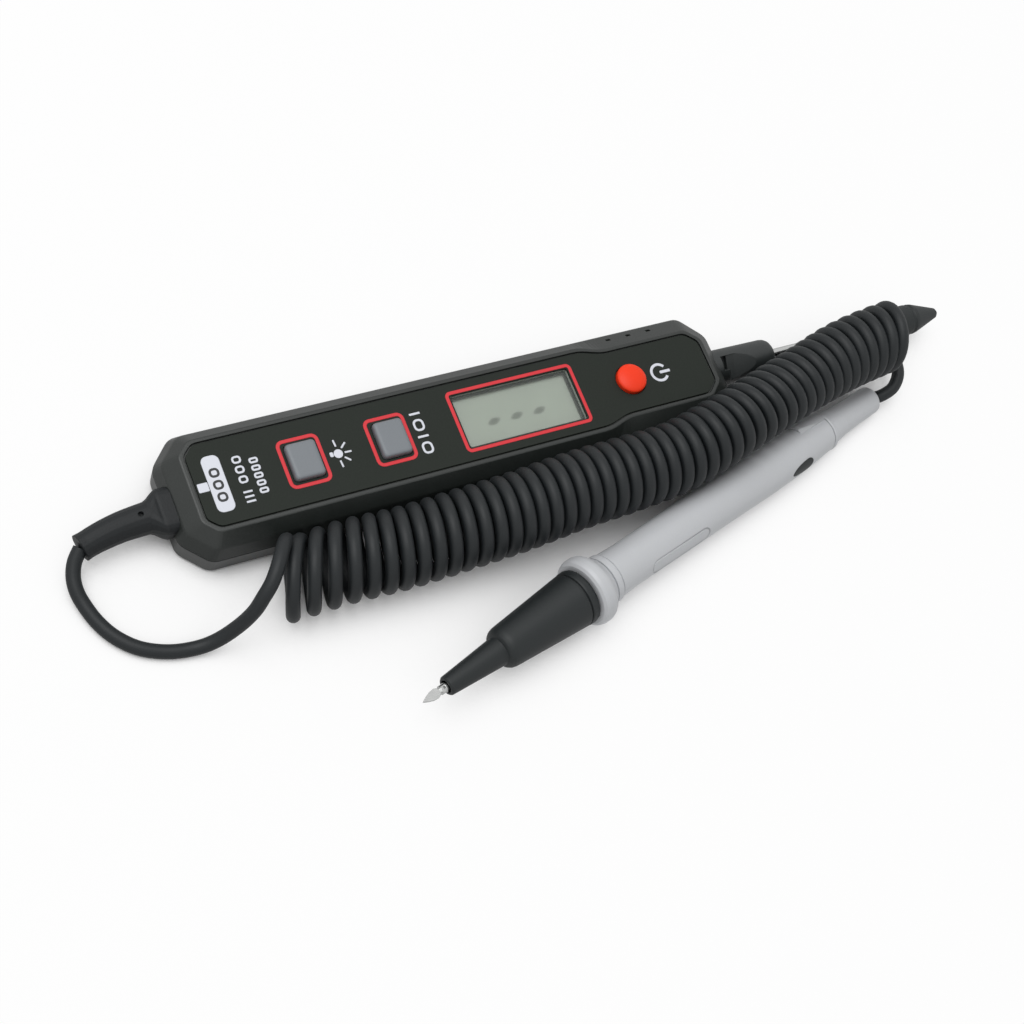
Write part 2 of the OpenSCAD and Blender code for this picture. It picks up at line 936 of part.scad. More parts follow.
module probe_handle() {
    color(probe_grey)
        on_probe()
            difference() {
                union() {
                    rotate_extrude()
                        polygon([
                            [rod_r, -14], [4.7, -14], [4.9, -13.6], [5.8, -0.4], [5.8, 0],
                            [flange_r - 1.1, 0], [flange_r - 0.35, 0.5], [flange_r, 1.5],
                            [flange_r, flange_t_back], [flange_r - 0.25, 3.9],
                            [flange_r - 0.9, 4.8], [flange_r - 1.8, 5.6], [7.05, 6.3],
                            [6.95, 6.6], [6.2, 6.7], [6.2, 7.05], [6.85, 7.15], [6.8, 8.9],
                            [6.7, 9], [6.05, 9.1], [6.05, 9.5], [6.35, 9.6], [6.1, 16.3],
                            [6.3, 34], [6.4, 51], [6.65, 70], [6.5, 80], [6.3, 85],
                            [5.7, 93], [5.55, joint_s - 0.2], [5.2, joint_s - 0.2],
                            [3, joint_s - 0.2], [3, 90], [rod_r, 90]
                        ]);
                    intersection() {
                        rotate_extrude()
                            polygon([
                                [5, pad_s], [6.95, pad_s], [6.95, pad_s + 0.6],
                                [6, joint_s - 0.4], [5, joint_s - 0.4]
                            ]);
                        translate([-6, 2, pad_s - over])
                            cube([9, 6, 20]);
                    }
                }
                inlay_form(1.6);
                label_groove();
                translate([-5, 5.9, notch_s])
                    cube([7, 3, 0.8]);
            }
}

module handle_inlay() {
    color(black)
        on_probe()
            intersection() {
                inlay_form(1.6);
                cylinder(r = 6.4, h = 100);
            }
}

module probe_rear_sleeve() {
    color(probe_grey)
        on_probe()
            rotate_extrude()
                polygon([
                    [0, 90], [3, 90], [3, joint_s], [5.6, joint_s], [5.75, joint_s + 0.3],
                    [5.7, joint_s + 0.9], [5.1, joint_s + 1.6], [4.9, joint_s + 3],
                    [4.45, joint_s + 7], [4.15, joint_s + 14], [4.1, probe_back - 1.5],
                    [probe_end_r, probe_back - 0.7], [probe_end_r - 0.5, probe_back - 0.1],
                    [probe_end_r - 1.2, probe_back], [0, probe_back]
                ]);
}

// The steel core ends in a bead and a flat leaf point
module probe_tip() {
    color("#d5d7d9")
        on_probe() {
            difference() {
                union() {
                    translate([0, 0, -46.4])
                        cylinder(r = rod_r, h = 66.4);
                    translate([0, 0, -47.7])
                        cylinder(r = 1.2, h = 1.8);
                }
                translate([0, 0, -46.8])
                    rotate([0, 90, 0])
                        cylinder(r = 0.35, h = 4, center = true);
            }
            translate([-0.45, 0, -47.5])
                rotate([0, 90, 0])
                    linear_extrude(0.9)
                        polygon([
                            [0, -0.5], [0.6, -0.5], [0.9, -1], [1.6, -1.3], [2.8, -1.2],
                            [4, -0.8], [5, -0.35], [5.6, 0], [5, 0.35], [4, 0.8],
                            [2.8, 1.2], [1.6, 1.3], [0.9, 1], [0.6, 0.5], [0, 0.5]
                        ]);
        }
}

module probe_guard() {
    color(black)
        on_probe()
            rotate_extrude()
                polygon([
                    [1.75, guard_front], [2.3, guard_front], [2.6, guard_front + 0.4],
                    [3.87, -28.7], [4.3, -28.6], [4.9, -28.2], [5.35, -27.5],
                    [5.6, -26.6], [5.7, -25.6], [7.45, -3.6], [7.45, -3.3], [7, -3.2],
                    [7, -2.85], [7.5, -2.75], [7.6, -2.3], [7.6, -1], [7.4, -0.5],
                    [6, -0.5], [6, -0.6], [4.9 + guard_gap, -13.8], [4.9, -15],
                    [3.6, -24], [1.75, -30]
                ]);
}

top_cover();
bottom_cover();
face_panel();
lcd_window();
lcd_glass();
backlight_panel();
lcd_holder();
contact_strips();
main_board();
tact_switches();
power_button();
power_plunger();
light_button();
light_plunger();
hold_button();
hold_plunger();
cell_holder();
cell_contact();
coin_cell();
battery_door();
door_screw();
case_screws();
nose_sleeve();
test_rod();
rod_terminal();
rod_cap();
lead_boot();
inner_lead();
cord_lead();
cord_coil();
cord_tail();
probe_handle();
handle_inlay();
probe_rear_sleeve();
probe_tip();
probe_guard();
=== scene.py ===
"""Looks of the circuit tester: the lead's helix, the print on its face, every finish, and a plain studio."""

import json
from math import atan2, cos, hypot, radians, sin

import bpy
from mathutils import Matrix, Vector


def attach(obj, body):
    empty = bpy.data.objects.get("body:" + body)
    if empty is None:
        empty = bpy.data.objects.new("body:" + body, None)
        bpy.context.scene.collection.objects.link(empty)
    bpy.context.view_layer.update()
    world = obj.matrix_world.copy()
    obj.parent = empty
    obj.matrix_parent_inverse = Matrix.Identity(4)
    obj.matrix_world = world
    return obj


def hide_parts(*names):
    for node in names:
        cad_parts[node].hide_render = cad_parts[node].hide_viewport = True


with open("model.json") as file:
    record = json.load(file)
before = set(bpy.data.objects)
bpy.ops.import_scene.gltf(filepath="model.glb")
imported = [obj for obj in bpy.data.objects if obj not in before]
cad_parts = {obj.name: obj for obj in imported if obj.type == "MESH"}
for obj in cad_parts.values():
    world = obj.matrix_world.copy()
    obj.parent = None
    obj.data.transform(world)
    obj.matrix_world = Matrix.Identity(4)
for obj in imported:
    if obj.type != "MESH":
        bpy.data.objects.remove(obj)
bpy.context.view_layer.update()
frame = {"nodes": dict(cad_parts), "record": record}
MM = 0.001

# The photograph's camera: its place, its three turns, and its lens in pixels of the image
CAMERA_PLACE = Vector((-180.54, -143.01, 396.61)) * MM
CAMERA_YAW = radians(57.43)
CAMERA_PITCH = radians(60.51)
CAMERA_ROLL = radians(-38.21)
NEAREST_SEEN = 0.01
SENSOR = 36.0
FOCAL_PIXELS = 1740.0
IMAGE_SIDE = 1024.0

# The lead in millimetres: its thickness, and its route out of the boot and up to the coil
CORD_D = 3.6
LEAD_ROUTE = [
    (-101.9, -4.5, 6.6), (-103.93, -6.89, 5.26), (-105.07, -9.75, 4.1), (-105.34, -12.93, 3.23),
    (-104.68, -16.35, 2.43), (-102.91, -21.55, 2.01), (-99.93, -26.51, 1.9), (-95.29, -30.77, 1.9),
    (-89.02, -33.45, 1.8), (-82.54, -34.5, 2.22), (-77.66, -34.63, 4.59), (-73.19, -34.15, 9.55),
    (-70.15, -33.35, 14.81), (-67.99, -31.77, 18.38), (-65.4, -29.43, 20.7), (-62.8, -25.99, 21.77),
    (-60.1, -22.1, 20.9), (-57.8, -19.46, 18), (-56.25, -18.84, 13.4),
]
# Stations along the coil: its middle's x, y and z, its turn about the vertical in degrees, its strand's
# radius, and its turns' backward tilt in degrees
COIL_STATIONS = [
    (-60, -27.2, 10.7, -22, 8.75, 18), (-44, -26.6, 11.2, -13.4, 8.75, 14),
    (-28, -27.1, 11.2, -6.5, 8.7, 10.5), (-12, -26.8, 11.7, -2.8, 8.7, 7.5),
    (4, -26.5, 12.8, 0.6, 8.65, 4.5), (20, -25.6, 14.1, 2.2, 8.55, 3.2), (36, -25.3, 15, 3.4, 8.4, 3.8),
    (52, -24.7, 16.8, 7.8, 7.95, 4), (68, -21.4, 19.8, 21, 7.65, 2), (84, -16.7, 17.4, 28, 7.7, 2),
    (100, -12.3, 15.5, 22.5, 7.75, 4), (116, -8.7, 16.1, 9.5, 8.2, 1), (132, -7.1, 17.8, -9, 8.4, 0),
]
# Its route from the coil into the second probe
TAIL_ROUTE = [
    (134, -4.76, 9.03), (136.61, -9.71, 8.4), (136.13, -15.13, 7.99), (132.95, -18.84, 6.97),
    (128.86, -19.95, 5.73), (126.08, -19.46, 4.06),
]
TURNS = 48
# Where turns 0, 4, 8 and so on lie along the coil
PLACE_STEP = 4
TURN_PLACES = [
    -60.0, -40.2, -23.35, -7.05, 8.15, 23.4, 38.9, 54.0, 68.4, 85.5, 101.6, 115.7, 130.6,
]
# The strand's phase in degrees: at a turn's place, where the lead joins the coil, and where the tail leaves
TURN_TOP = 22.0
FIRST_PHASE = -38.0
LAST_PHASE = -45.0
# How finely the coil, the routes and the rows of stations are stepped, and how round the lead is
POINTS_PER_TURN = 36
ROUTE_STEPS = 6
ROW_STEPS = 16
CORD_ROUNDNESS = 6

# The print in millimetres: the height of the face, and the print's thickness, outlines and rays
FACE_Z = 14.9
PRINT_T = 0.05
OUTLINE = 0.95
RAY = 0.5
CORNER_STEPS = 5
DISC_SIDES = 60
# A bar's corners as a share of its width
BAR_CORNER = 0.3
# Rows of marks: how long each mark and each gap is beside a round one, and the corners of both kinds
MARK_LENGTHS = {"o": 1.0, "i": 0.32, " ": 0.35}
MARK_GAP = 0.3
ROUND_CORNER = 0.42
STROKE_CORNER = 0.12

# Finishes: how fine their clouds, their edge patches of wear and painted highlight, and their drawn lines
# are, and how high in metres their relief is
CLOUD_SCALE = 140.0
PATCH_SCALE = 420.0
LINE_SCALE = 5000.0
MOULDED_RELIEF = 0.00012
METAL_RELIEF = 0.00005
METAL_BUMP = 0.1
METAL_EDGE = 0.12
# How strongly a turned normal counts as an edge, and how many rays look for it
EDGE_GAIN = 3.0
EDGE_SAMPLES = 6

# The display's dashes in millimetres: their middles and half sizes, then their turn in degrees, their shape,
# their soft edge and their darkness
DASHES = [(7.9, -1.1), (14.6, -1.1), (21.3, -1.2)]
DASH_HALF = (1.9, 0.95)
DASH_TURN = 14.0
DASH_SHAPE = 1.7
DASH_FADE = (0.15, 1.6)
DASH_DARKNESS = 0.62

# The floor: how much of its look is plain white where it lies open, the rest being its light and shadow, and
# how light that white is where the object mirrors it, so that the object's low sides stay dark
FLOOR_SIDE = 6
FLOOR_WHITE = 0.9
FLOOR_MIRRORED = 0.7
# How near the object shades the floor, and between which shares of openness its white comes in
SHADE_REACH = 0.035
SHADE_FADE = (0.25, 0.85)
SHADE_SAMPLES = 6

# The even light from all round, and the square lamp with the place that it faces
WORLD_LIGHT = 0.4
LAMP_PLACE = Vector((-0.5, 0.5, 2.0))
LAMP_AIM = Vector((0.02, -0.01, 0))
LAMP_SIDE = 1.6
LAMP_POWER = 28.0


def make_camera():
    """The photograph's camera."""
    forward = Vector((
        sin(CAMERA_YAW) * cos(CAMERA_PITCH), cos(CAMERA_YAW) * cos(CAMERA_PITCH), -sin(CAMERA_PITCH),
    ))
    level = Vector((cos(CAMERA_YAW), -sin(CAMERA_YAW), 0))
    down = forward.cross(level)
    right = cos(CAMERA_ROLL) * level + sin(CAMERA_ROLL) * down
    lower = cos(CAMERA_ROLL) * down - sin(CAMERA_ROLL) * level
    data = bpy.data.cameras.new("camera")
    data.sensor_width = SENSOR
    data.lens = SENSOR * FOCAL_PIXELS / IMAGE_SIDE
    data.clip_start = NEAREST_SEEN
    camera = bpy.data.objects.new("camera", data)
    bpy.context.scene.collection.objects.link(camera)
    turn = Matrix((right, -lower, -forward)).transposed()
    camera.matrix_world = Matrix.Translation(CAMERA_PLACE) @ turn.to_4x4()
    bpy.context.scene.camera = camera


# The lead

def smooth_line(rows, steps):
    """Rows of numbers along a smooth curve through the given rows, with that many steps to each stretch."""
    line = []
    for i in range(len(rows) - 1):
        near = (rows[max(i - 1, 0)], rows[i], rows[i + 1], rows[min(i + 2, len(rows) - 1)])
        for k in range(steps):
            t = k / steps
            line.append(tuple(
                0.5 * (2 * b + (c - a) * t + (2 * a - 5 * b + 4 * c - d) * t * t
                       + (3 * b - a - 3 * c + d) * t ** 3)
                for a, b, c, d in zip(*near)
            ))
    line.append(tuple(rows[-1]))
    return line


STATION_ROWS = smooth_line(COIL_STATIONS, ROW_STEPS)
PLACE_ROWS = smooth_line([(PLACE_STEP * i, x) for i, x in enumerate(TURN_PLACES)], ROW_STEPS)


def row_at(rows, first):
    """The row whose first number is the given one, carried on past the first and last rows."""
    j = 0
    while j < len(rows) - 2 and rows[j + 1][0] < first:
        j += 1
    t = (first - rows[j][0]) / (rows[j + 1][0] - rows[j][0])
    return tuple(a + (b - a) * t for a, b in zip(rows[j], rows[j + 1]))


def turn_point(phase):
    """The point of the strand at a phase that falls by 360 degrees from one turn to the next."""
    x = row_at(PLACE_ROWS, (TURN_TOP - phase) / 360)[1]
    _, y, z, lean, radius, tilt = row_at(STATION_ROWS, x)
    lean, tilt, phase = radians(lean), radians(tilt), radians(phase)
    side = Vector((-sin(lean), cos(lean), 0))
    up = Vector((-sin(tilt) * cos(lean), -sin(tilt) * sin(lean), cos(tilt)))
    return Vector((x, y, z)) + radius * (cos(phase) * side + sin(phase) * up)


def cord_line():
    """The lead's whole centre line: loop, helix and tail."""
    fall = FIRST_PHASE - LAST_PHASE + 360 * TURNS
    count = round(fall / 360 * POINTS_PER_TURN)
    coil = [turn_point(FIRST_PHASE - fall * i / count) for i in range(count + 1)]
    # Each route runs on to a second point of the coil, and that last stretch is left out again
    lead = smooth_line(LEAD_ROUTE + [tuple(coil[0]), tuple(coil[2])], ROUTE_STEPS)[:-ROUTE_STEPS - 1]
    tail = smooth_line([tuple(coil[-4]), tuple(coil[-1])] + TAIL_ROUTE, ROUTE_STEPS)[ROUTE_STEPS:]
    return [Vector(p) for p in lead] + coil[:-1] + [Vector(p) for p in tail]


def make_cord():
    """The whole lead as one round line, in place of its three CAD nodes."""
    line = [p * MM for p in cord_line()]
    data = bpy.data.curves.new("curly_lead", "CURVE")
    data.dimensions = "3D"
    # The points carry the thickness, because a curve's box reaches out by their radius, which is 1 m if left
    data.bevel_depth = 1.0
    data.bevel_resolution = CORD_ROUNDNESS
    data.use_fill_caps = True
    spline = data.splines.new("POLY")
    spline.points.add(len(line) - 1)
    for point, place in zip(spline.points, line):
        point.co = (*place, 1)
        point.radius = CORD_D / 2 * MM
    spline.use_smooth = True
    cord = bpy.data.objects.new("curly_lead", data)
    bpy.context.scene.collection.objects.link(cord)
    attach(cord, "root")
    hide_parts("cord_lead", "cord_coil", "cord_tail")
    return cord


# Print on the face, made as thin raised fields

def set_down():
    """The active object's place and size go into its mesh."""
    bpy.ops.object.transform_apply(location=True, rotation=True, scale=True)


def edit_all():
    """Enters edit mode with every face selected."""
    bpy.ops.object.mode_set(mode="EDIT")
    bpy.ops.mesh.select_mode(type="FACE")
    bpy.ops.mesh.select_all(action="SELECT")


def raise_and_place(centre, z=FACE_Z, turn=0.0):
    """Leaves edit mode, gives the flat print its thickness and puts it in its place on the face."""
    bpy.ops.object.mode_set(mode="OBJECT")
    made = bpy.context.object
    solid = made.modifiers.new("thickness", "SOLIDIFY")
    solid.thickness = PRINT_T * MM
    solid.offset = 1
    bpy.ops.object.modifier_apply(modifier=solid.name)
    made.rotation_euler = (0, 0, turn)
    made.location = (centre[0] * MM, centre[1] * MM, z * MM)
    set_down()
    return made


def field(centre, size, corner, turn=0.0, line=0.0, z=FACE_Z):
    """A field with round corners, or only its outline where line is given."""
    bpy.ops.object.select_all(action="DESELECT")
    bpy.ops.mesh.primitive_plane_add(size=MM)
    plane = bpy.context.object
    plane.scale = (size[0], size[1], 1)
    set_down()
    edit_all()
    bpy.ops.mesh.bevel(offset=corner * MM, segments=CORNER_STEPS, affect="VERTICES")
    if line:
        bpy.ops.mesh.select_all(action="SELECT")
        bpy.ops.mesh.inset(thickness=line * MM)
        bpy.ops.mesh.delete(type="FACE")
    return raise_and_place(centre, z, turn)


def frame_line(x0, x1, y0, y1, corner):
    """A printed outline whose line runs round the given centre line."""
    size = (x1 - x0 + OUTLINE, y1 - y0 + OUTLINE)
    return field(((x0 + x1) / 2, (y0 + y1) / 2), size, corner, line=OUTLINE)


def bar(start, end, width):
    """A short printed stroke with round ends."""
    across, along = end[1] - start[1], end[0] - start[0]
    middle = ((start[0] + end[0]) / 2, (start[1] + end[1]) / 2)
    size = (hypot(across, along) + width, width)
    return field(middle, size, width * BAR_CORNER, turn=atan2(across, along))


def disc(centre, radius, line=0.0, open_half_angle=0.0):
    """A printed disc, or a ring where line is given, open toward +X by the half angle."""
    bpy.ops.object.select_all(action="DESELECT")
    bpy.ops.mesh.primitive_circle_add(vertices=DISC_SIDES, radius=radius * MM, fill_type="NGON")
    edit_all()
    if line:
        bpy.ops.mesh.inset(thickness=line * MM)
        bpy.ops.mesh.delete(type="FACE")
    bpy.ops.object.mode_set(mode="OBJECT")
    if open_half_angle:
        mesh = bpy.context.object.data
        for face in mesh.polygons:
            face.select = abs(atan2(face.center.y, face.center.x)) < open_half_angle
        bpy.ops.object.mode_set(mode="EDIT")
        bpy.ops.mesh.delete(type="FACE")
    return raise_and_place(centre)


def joined(name, parts, finish):
    """Prints of one colour become one piece on the face."""
    bpy.ops.object.select_all(action="DESELECT")
    for part in parts:
        part.select_set(True)
    bpy.context.view_layer.objects.active = parts[0]
    bpy.ops.object.join()
    piece = bpy.context.object
    piece.name = name
    piece.data.name = name
    piece.data.materials.clear()
    piece.data.materials.append(finish)
    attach(piece, "root")


def mark_row(x0, x1, y_from, y_to, shapes, stroke, z=FACE_Z):
    """A row of plain marks down the face: o is a round outline and i a stroke."""
    total = sum(MARK_LENGTHS[s] for s in shapes) + MARK_GAP * (len(shapes) - 1)
    unit = (y_from - y_to) / total
    height = x1 - x0
    y = y_from
    made = []
    for shape in shapes:
        length = MARK_LENGTHS[shape] * unit
        centre = ((x0 + x1) / 2, y - length / 2)
        if shape == "o":
            corner = min(length, height) * ROUND_CORNER
            made.append(field(centre, (height, length), corner, line=stroke, z=z))
        elif shape == "i":
            made.append(field(centre, (height, stroke), STROKE_CORNER, z=z))
        y -= length + MARK_GAP * unit
    return made


# Finishes

def linear(r, g, b):
    """A colour as the eye's 0 to 255 values gives its light values."""
    def one(v):
        v /= 255
        return v / 12.92 if v <= 0.04045 else ((v + 0.055) / 1.055) ** 2.4
    return (one(r), one(g), one(b), 1)


def make(tree, kind, settings=None, **inputs):
    """A node with its settings, and with its inputs set or linked."""
    made = tree.nodes.new(kind)
    for name, value in (settings or {}).items():
        setattr(made, name, value)
    for name, value in inputs.items():
        socket = made.inputs[int(name[1:]) if name[1:].isdigit() else name.replace("_", " ")]
        if isinstance(value, bpy.types.NodeSocket):
            tree.links.new(value, socket)
        else:
            socket.default_value = value
    return made


def link(tree, node, **sources):
    """Links each source to the node's input of that name."""
    for name, source in sources.items():
        tree.links.new(source, node.inputs[name.replace("_", " ")])


def math(tree, operation, a, b=0.0, clamp=False):
    """The result of one step of arithmetic."""
    settings = {"operation": operation, "use_clamp": clamp}
    return make(tree, "ShaderNodeMath", settings, _0=a, _1=b).outputs[0]


def object_place(tree):
    """Each spot's place in the object's own space."""
    return tree.nodes.new("ShaderNodeTexCoord").outputs["Object"]


def noise(tree, place, scale, **settings):
    """A 0 to 1 noise over the given places."""
    return make(tree, "ShaderNodeTexNoise", Vector=place, Scale=scale, **settings).outputs[0]


def swing(tree, value, share):
    """A 0 to 1 value as a change up and down, of the given share."""
    return math(tree, "MULTIPLY", math(tree, "SUBTRACT", value, 0.5), share)


def scaled(tree, colour, light):
    """The colour, lighter or darker by a factor."""
    return make(tree, "ShaderNodeVectorMath", {"operation": "SCALE"}, _0=colour, Scale=light).outputs[0]


def faded(tree, value, between, first, last):
    """A smooth change from the first to the last number while the value goes between two others."""
    return make(
        tree, "ShaderNodeMapRange", {"interpolation_type": "SMOOTHSTEP"},
        Value=value, From_Min=between[0], From_Max=between[1], To_Min=first, To_Max=last,
    ).outputs[0]


def new_group(name, inputs, outputs):
    """An empty shader group, with its input and output nodes."""
    tree = bpy.data.node_groups.new(name, "ShaderNodeTree")
    for socket, kind, value in inputs:
        made = tree.interface.new_socket(socket, in_out="INPUT", socket_type="NodeSocket" + kind)
        made.default_value = value
    for socket, kind in outputs:
        tree.interface.new_socket(socket, in_out="OUTPUT", socket_type="NodeSocket" + kind)
    return tree, tree.nodes.new("NodeGroupInput"), tree.nodes.new("NodeGroupOutput")


def make_grain_group():
    """Moulded plastic or rubber: a fine speckle and slow cloudiness in its colour, gloss and height."""
    tree, given, result = new_group(
        "moulded_grain",
        [("Colour", "Color", (0.5, 0.5, 0.5, 1)), ("Grain", "Float", 3000), ("Speckle", "Float", 0.2),
         ("Cloud", "Float", 0.1), ("Rough", "Float", 0.5)],
        [("Colour", "Color"), ("Roughness", "Float"), ("Height", "Float")],
    )
    place = object_place(tree)
    fine = noise(tree, place, given.outputs["Grain"], Detail=3.0)
    slow = noise(tree, place, CLOUD_SCALE, Detail=4.0, Roughness=0.6)
    fine_part = swing(tree, fine, given.outputs["Speckle"])
    slow_part = swing(tree, slow, given.outputs["Cloud"])
    light = math(tree, "ADD", math(tree, "ADD", fine_part, slow_part), 1.0)
    rough = math(tree, "ADD", given.outputs["Rough"], math(tree, "MULTIPLY", slow_part, 0.6), clamp=True)
    link(tree, result, Colour=scaled(tree, given.outputs["Colour"], light), Roughness=rough, Height=fine)
    return tree


def make_edge_group():
    """Softens sharp edges in the shading, and paints the colour lighter on them in patches, partly as wear
    and partly as a painted edge highlight.
    """
    tree, given, result = new_group(
        "edges_worn_and_highlit",
        [("Width", "Float", 0.0002), ("Colour", "Color", (0.5, 0.5, 0.5, 1)), ("Rubbed", "Float", 0.5)],
        [("Normal", "Vector"), ("Colour", "Color")],
    )
    soft = make(
        tree, "ShaderNodeBevel", {"samples": EDGE_SAMPLES}, Radius=given.outputs["Width"],
    ).outputs[0]
    sharp = tree.nodes.new("ShaderNodeNewGeometry").outputs["Normal"]
    alike = make(tree, "ShaderNodeVectorMath", {"operation": "DOT_PRODUCT"}, _0=soft, _1=sharp)
    turned = math(tree, "SUBTRACT", 1.0, alike.outputs["Value"])
    edge = math(tree, "MULTIPLY", turned, EDGE_GAIN, clamp=True)
    patchy = noise(tree, object_place(tree), PATCH_SCALE, Detail=3.0)
    # Edges painted lighter in patches: partly wear, partly a painted highlight
    edge_wear_and_highlight = math(tree, "MULTIPLY", math(tree, "MULTIPLY", edge, patchy), given.outputs["Rubbed"])
    light = math(tree, "ADD", 1.0, edge_wear_and_highlight)
    link(tree, result, Normal=soft, Colour=scaled(tree, given.outputs["Colour"], light))
    return tree


def make_brushed_group():
    """Drawn metal: fine lines along one direction in its colour, gloss and height."""
    tree, given, result = new_group(
        "drawn_metal",
        [("Colour", "Color", (0.6, 0.6, 0.6, 1)), ("Stretch", "Vector", (0.05, 1, 1)),
         ("Rough", "Float", 0.3)],
        [("Colour", "Color"), ("Roughness", "Float"), ("Height", "Float")],
    )
    drawn = make(
        tree, "ShaderNodeVectorMath", {"operation": "MULTIPLY"},
        _0=object_place(tree), _1=given.outputs["Stretch"],
    ).outputs[0]
    lines = noise(tree, drawn, LINE_SCALE, Detail=2.0)
    light = math(tree, "ADD", swing(tree, lines, 0.35), 1.0)
    rough = math(tree, "ADD", given.outputs["Rough"], math(tree, "MULTIPLY", lines, 0.15), clamp=True)
    link(tree, result, Colour=scaled(tree, given.outputs["Colour"], light), Roughness=rough, Height=lines)
    return tree


def dash_share(tree, distance, half):
    """How far out a distance from the dash's middle lies: 1 at its edge."""
    share = math(tree, "ABSOLUTE", math(tree, "DIVIDE", distance, half * MM))
    return math(tree, "POWER", share, DASH_SHAPE)


def make_dash_group():
    """A soft-edged dark dash of the display: 1 in its middle, 0 outside."""
    tree, given, result = new_group(
        "display_dash", [("X", "Float", 0.0), ("Y", "Float", 0.0)], [("Mask", "Float")],
    )
    split = make(tree, "ShaderNodeSeparateXYZ", _0=object_place(tree))
    x = math(tree, "SUBTRACT", split.outputs[0], given.outputs["X"])
    y = math(tree, "SUBTRACT", split.outputs[1], given.outputs["Y"])
    turn = radians(DASH_TURN)
    along = math(tree, "ADD", math(tree, "MULTIPLY", x, cos(turn)), math(tree, "MULTIPLY", y, sin(turn)))
    across = math(
        tree, "SUBTRACT", math(tree, "MULTIPLY", y, cos(turn)), math(tree, "MULTIPLY", x, sin(turn)),
    )
    out = math(
        tree, "ADD", dash_share(tree, along, DASH_HALF[0]), dash_share(tree, across, DASH_HALF[1]),
    )
    link(tree, result, Mask=faded(tree, out, DASH_FADE, 1.0, 0.0))
    return tree


GRAIN = make_grain_group()
EDGES = make_edge_group()
BRUSHED = make_brushed_group()
DASH = make_dash_group()


def new_finish(name):
    """A new material, with its tree and its shader."""
    finish = bpy.data.materials.new(name)
    finish.use_nodes = True
    tree = finish.node_tree
    return finish, tree, tree.nodes["Principled BSDF"]


def use(tree, group, **inputs):
    """A node of a shader group, with its inputs set or linked."""
    return make(tree, "ShaderNodeGroup", {"node_tree": group}, **inputs)


def coat(tree, surface, looks, colour=None):
    """The shader takes its roughness from the given group, and its colour too unless one is given."""
    link(tree, surface, Base_Color=colour or looks.outputs["Colour"], Roughness=looks.outputs["Roughness"])


def rise(tree, surface, looks, edges, bump, relief):
    """The shader takes the group's relief on top of the softened edges."""
    raised = make(
        tree, "ShaderNodeBump", Strength=bump, Distance=relief, Height=looks.outputs["Height"],
        Normal=edges.outputs["Normal"],
    )
    link(tree, surface, Normal=raised.outputs[0])


def moulded(name, colour, rough, grain=2600.0, speckle=0.25, cloud=0.15, bump=0.15, edge=0.25,
            rubbed=0.6, specular=0.5):
    """Moulded plastic or rubber with its grain and its soft edges, painted slightly lighter as wear and as a
    painted highlight.
    """
    finish, tree, surface = new_finish(name)
    # The edge group paints the edges lighter: partly wear, partly a painted highlight
    edges = use(tree, EDGES, Width=edge * MM, Colour=colour, Rubbed=rubbed)
    grained = use(
        tree, GRAIN, Colour=edges.outputs["Colour"], Grain=grain, Speckle=speckle, Cloud=cloud, Rough=rough,
    )
    coat(tree, surface, grained)
    rise(tree, surface, grained, edges, bump, MOULDED_RELIEF)
    surface.inputs["Specular IOR Level"].default_value = specular
    return finish


def metal(name, colour, rough, stretch):
    """Drawn or plated metal, its lines running where stretch is small."""
    finish, tree, surface = new_finish(name)
    # The edges are painted slightly lighter: partly wear, partly a painted highlight
    edges = use(tree, EDGES, Width=METAL_EDGE * MM, Colour=colour, Rubbed=0.3)
    drawn = use(tree, BRUSHED, Colour=edges.outputs["Colour"], Stretch=stretch, Rough=rough)
    coat(tree, surface, drawn)
    rise(tree, surface, drawn, edges, METAL_BUMP, METAL_RELIEF)
    surface.inputs["Metallic"].default_value = 1.0
    return finish


def clear_window():
    """Clear plastic that shows the display under it, and gleams where it is seen aslant."""
    finish, tree, surface = new_finish("clear_window")
    grained = use(
        tree, GRAIN, Colour=linear(205, 212, 204), Grain=900.0, Speckle=0.05, Cloud=0.1, Rough=0.06,
    )
    slant = make(tree, "ShaderNodeFresnel", IOR=1.45).outputs[0]
    clearness = math(tree, "ADD", math(tree, "MULTIPLY", slant, 0.9), 0.06, clamp=True)
    coat(tree, surface, grained)
    link(tree, surface, Alpha=clearness)
    return finish


def display_glass():
    """The grey-green display with its three dark dashes."""
    finish, tree, surface = new_finish("display_glass")
    grained = use(
        tree, GRAIN, Colour=linear(174, 182, 171), Grain=1500.0, Speckle=0.06, Cloud=0.12, Rough=0.35,
    )
    dark = 0.0
    for x, y in DASHES:
        dark = math(tree, "MAXIMUM", use(tree, DASH, X=x * MM, Y=y * MM).outputs["Mask"], dark)
    light = math(tree, "SUBTRACT", 1.0, math(tree, "MULTIPLY", dark, DASH_DARKNESS))
    coat(tree, surface, grained, scaled(tree, grained.outputs["Colour"], light))
    return finish


def board_finish():
    """Green board lacquer with copper tracks showing through it."""
    finish, tree, surface = new_finish("board_lacquer")
    tracks = make(
        tree, "ShaderNodeTexBrick", {"offset": 0.37}, Vector=object_place(tree), Scale=160.0,
        Mortar_Size=0.06, Color1=linear(38, 96, 62), Color2=linear(34, 86, 56), Mortar=linear(70, 130, 84),
    )
    grained = use(
        tree, GRAIN, Colour=tracks.outputs["Color"], Grain=1800.0, Speckle=0.1, Cloud=0.12, Rough=0.32,
    )
    coat(tree, surface, grained)
    return finish


